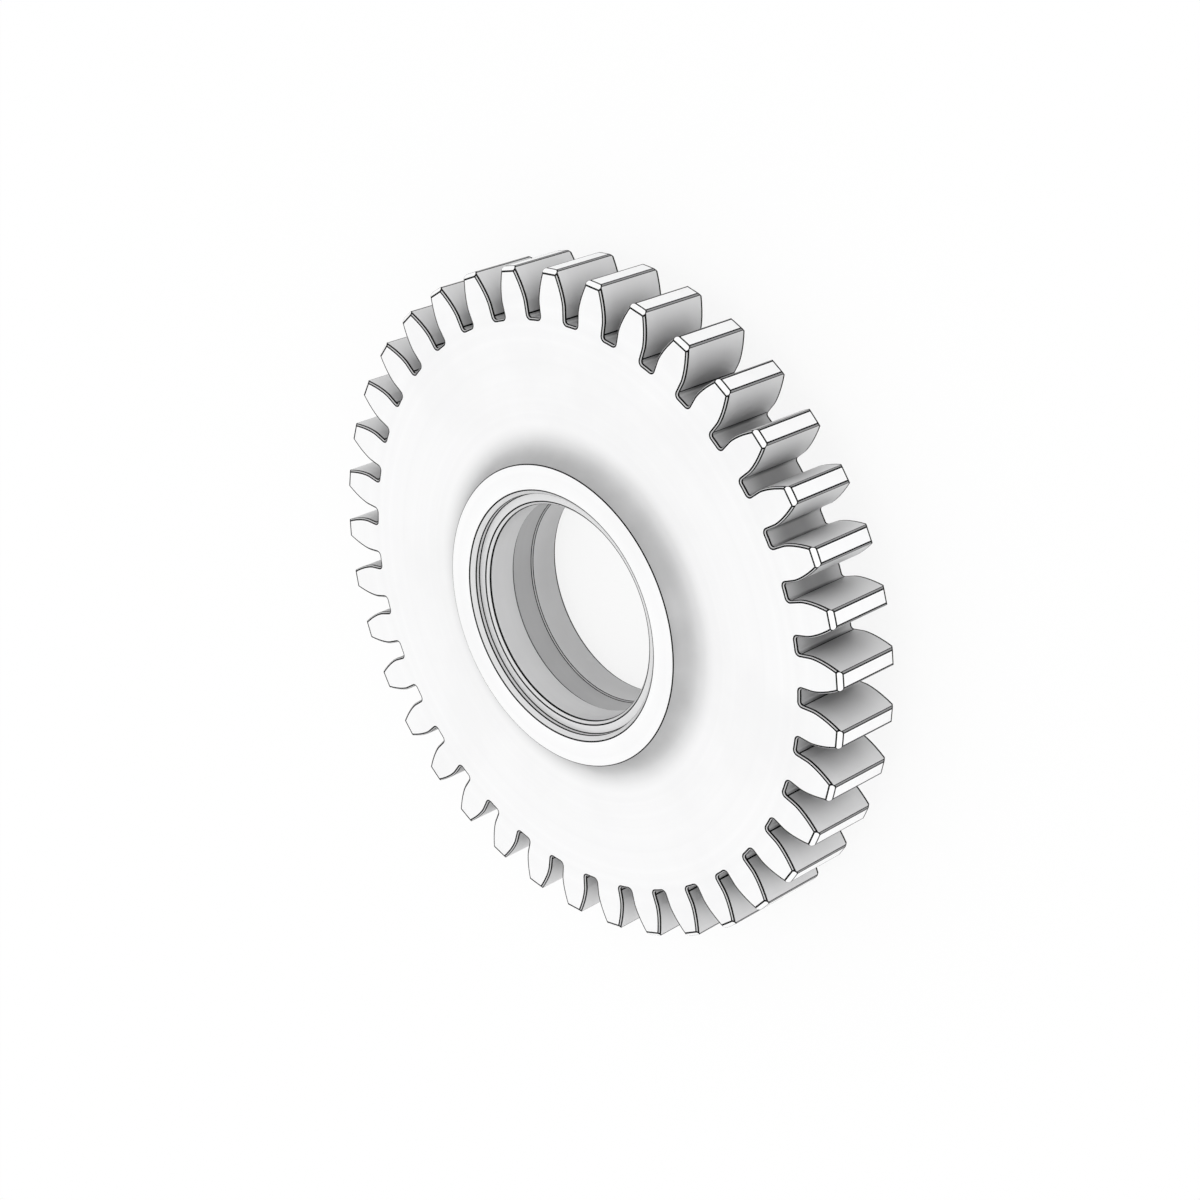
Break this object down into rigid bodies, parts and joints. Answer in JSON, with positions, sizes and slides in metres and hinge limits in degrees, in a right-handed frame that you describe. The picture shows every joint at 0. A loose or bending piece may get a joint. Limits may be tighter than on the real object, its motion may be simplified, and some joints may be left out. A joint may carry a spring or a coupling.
{
  "type": "spur gear",
  "caption": "Straight-toothed steel spur gear with a plain web, a coved hub on both sides and a stepped, relieved bore with no keyway.",
  "frame": {"origin": "centre of the hub's lower end face, on the gear's axis", "axes": "+Z along the gear's axis, up through the bore; +X through the middle of one tooth"},
  "size_m": [0.1543, 0.1544, 0.026],
  "materials": {
    "steel": "satin machined steel, turned faces and bore, hobbed teeth"
  },
  "bodies": {
    "root": {"spur_gear": "steel"}
  },
  "joints": []
}
